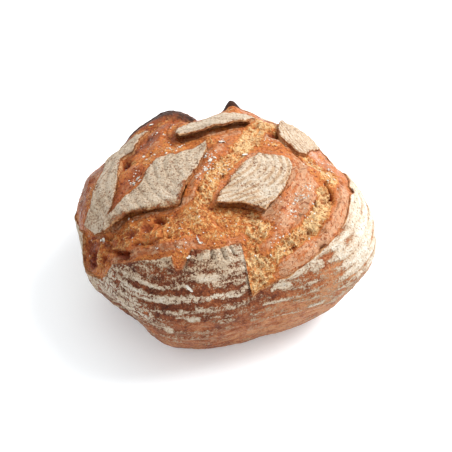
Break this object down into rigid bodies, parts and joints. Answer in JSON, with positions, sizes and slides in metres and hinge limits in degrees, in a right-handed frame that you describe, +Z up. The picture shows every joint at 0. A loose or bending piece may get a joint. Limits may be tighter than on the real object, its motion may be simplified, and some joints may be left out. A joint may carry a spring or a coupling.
{
  "type": "round loaf",
  "caption": "Round country loaf of baked bread with open torn scores, raised plates of floured crust and a flat base to stand on.",
  "frame": {"origin": "centre of the bounding box's bottom, on the surface that the loaf stands on", "axes": "+Z up, -Y towards the viewer of the picture, +X to the viewer's right"},
  "size_m": [0.2419, 0.2431, 0.135],
  "materials": {
    "crust": "dry baked crust, golden to red-brown, matte to slightly satin",
    "flour": "crust under a dry, matte dusting of pale flour"
  },
  "bodies": {
    "root": {"loaf": "crust"}
  },
  "joints": []
}
